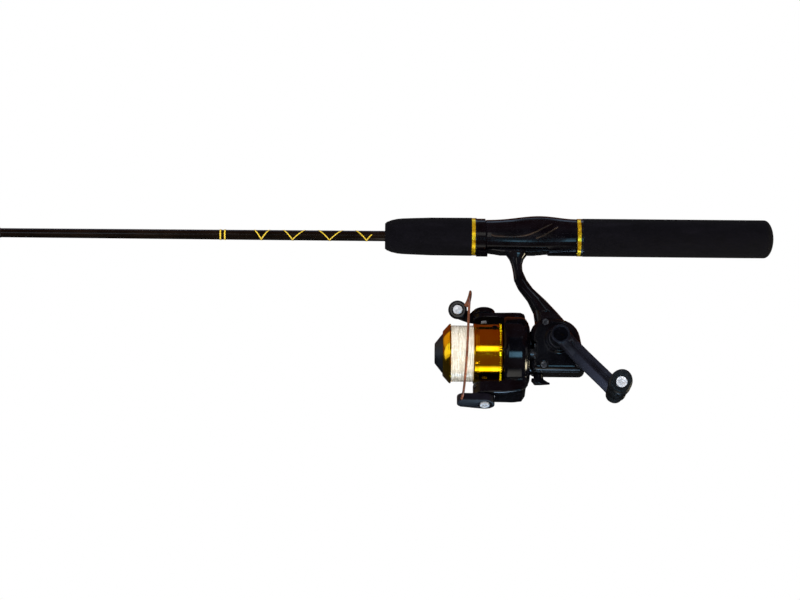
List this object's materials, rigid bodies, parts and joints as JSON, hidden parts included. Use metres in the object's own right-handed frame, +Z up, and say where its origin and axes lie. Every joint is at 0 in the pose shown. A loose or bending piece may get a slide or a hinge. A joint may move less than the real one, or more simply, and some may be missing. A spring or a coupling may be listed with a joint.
{
  "type": "ice fishing rod and reel",
  "caption": "Short ice fishing rod with foam grips, trim rings and ring guides, and a small open-face spinning reel with a skirted spool, folding bail and side crank.",
  "frame": {"origin": "on the rod's axis, at the middle of the rear grip", "axes": "X runs along the rod, with the tip at -X and the butt at +X; Z is up, with the reel hanging at -Z; the crank is on the -Y side"},
  "size_m": [0.7141, 0.0869, 0.1274],
  "materials": {
    "blank_gloss": "glossy black lacquer over glass fibre",
    "eva": "matt closed-cell foam",
    "gold_trim": "bright gold-coloured metal",
    "seat_black": "gloss moulded black",
    "reel_black": "gloss black paint",
    "rotor_black": "gloss black paint",
    "inner_plastic": "natural acetal",
    "guide_black": "black plated wire",
    "guide_ceramic": "polished dark ceramic",
    "thread_wrap": "black thread under clear varnish",
    "gold_thread": "gold thread under clear varnish",
    "steel": "plated steel",
    "brass": "turned brass",
    "spool_gold": "gold anodised, polished",
    "line_clear": "clear nylon line, wound",
    "bail_bronze": "dark bronze plated wire",
    "knob_black": "satin moulded black",
    "drag_grey": "satin dark grey-blue"
  },
  "bodies": {
    "rod": {"blank": "blank_gloss", "rear_grip": "eva", "rear_trim_ring": "gold_trim", "seat_body": "seat_black", "thread_barrel": "seat_black", "guide_frame_1": "guide_black", "guide_frame_2": "guide_black", "guide_frame_3": "guide_black", "guide_ring_1": "guide_ceramic", "guide_ring_2": "guide_ceramic", "guide_ring_3": "guide_ceramic", "tip_top_frame": "guide_black", "tip_top_ring": "guide_ceramic", "guide_wraps": "thread_wrap", "trim_wraps": "gold_thread", "reel_body": "reel_black", "side_cover": "reel_black", "cover_screws": "steel", "axle_bushes": "brass", "bearing_outer": "steel"},
    "hood": {"seat_hood": "seat_black"},
    "fore": {"foregrip": "eva", "lock_nut": "steel", "front_trim_ring": "gold_trim"},
    "drive": {"main_gear": "brass", "handle_shaft": "steel", "handle_arm": "reel_black", "handle_cap_screw": "reel_black", "knob_spindle": "steel", "knob_screw": "steel"},
    "knob": {"handle_knob": "knob_black"},
    "rotor": {"rotor": "rotor_black", "rotor_nut": "brass", "pinion_gear": "steel", "ratchet": "steel", "bearing_inner": "steel", "bearing_balls": "steel", "bail_pivot_screws": "steel", "bail_spring": "steel"},
    "bail": {"bail_arm": "rotor_black", "bail_wire": "bail_bronze", "bail_holder": "rotor_black", "roller_cap": "rotor_black"},
    "roller": {"line_roller": "brass"},
    "stroke": {"stroke_gear": "inner_plastic"},
    "shaft": {"main_shaft": "steel", "shaft_slider": "inner_plastic", "spool_sleeve": "steel"},
    "spool": {"spool": "spool_gold", "line_core": "line_clear", "line_winding": "line_clear", "line_clip": "spool_gold", "drag_washers": "steel", "washer_clip": "steel"},
    "drag": {"drag_knob": "drag_grey", "drag_spring": "steel"},
    "stop": {"stop_lever": "reel_black", "stop_pawl": "steel"}
  },
  "joints": [
    {"name": "foregrip_turn", "type": "hinge", "parent": "hood", "child": "fore", "pos_m": [-0.15, 0, 0], "axis": [1, 0, 0], "range_deg": [0, 720]},
    {"name": "hood_slide", "type": "slide", "parent": "rod", "child": "hood", "axis": [-1, 0, 0], "range_m": [0, 0.004]},
    {"name": "handle_turn", "type": "hinge", "parent": "rod", "child": "drive", "pos_m": [-0.076, 0, -0.0685], "axis": [0, 1, 0], "continuous": true},
    {"name": "knob_spin", "type": "hinge", "parent": "drive", "child": "knob", "pos_m": [-0.04214, -0.05, -0.1061], "axis": [0, 1, 0], "continuous": true},
    {"name": "rotor_turn", "type": "hinge", "parent": "rod", "child": "rotor", "pos_m": [-0.1, 0, -0.0755], "axis": [1, 0, 0], "continuous": true},
    {"name": "bail_open", "type": "hinge", "parent": "rotor", "child": "bail", "pos_m": [-0.122, 0, -0.0755], "axis": [0, -0.2756, -0.9613], "range_deg": [0, 105]},
    {"name": "roller_spin", "type": "hinge", "parent": "bail", "child": "roller", "pos_m": [-0.1385, 0.00838, -0.04591], "axis": [0, -0.9945, -0.1045], "continuous": true},
    {"name": "stroke_gear_turn", "type": "hinge", "parent": "rod", "child": "stroke", "pos_m": [-0.072, 0, -0.07853], "axis": [0, 1, 0], "continuous": true},
    {"name": "shaft_slide", "type": "slide", "parent": "rod", "child": "shaft", "axis": [-1, 0, 0], "range_m": [-0.003, 0.007]},
    {"name": "spool_turn", "type": "hinge", "parent": "shaft", "child": "spool", "pos_m": [-0.13, 0, -0.0755], "axis": [1, 0, 0], "continuous": true},
    {"name": "drag_knob_turn", "type": "hinge", "parent": "shaft", "child": "drag", "pos_m": [-0.15, 0, -0.0755], "axis": [-1, 0, 0], "range_deg": [-270, 270]},
    {"name": "stop_turn", "type": "hinge", "parent": "rod", "child": "stop", "pos_m": [-0.0883, 0, -0.09], "axis": [0, 0, 1], "range_deg": [0, 20]}
  ],
  "couplings": [
    {"joint": "rotor_turn", "follows": "handle_turn", "ratio": 4.2857},
    {"joint": "stroke_gear_turn", "follows": "handle_turn", "ratio": -0.5},
    {"joint": "hood_slide", "follows": "foregrip_turn", "m_per_rad": 0.00031831}
  ]
}
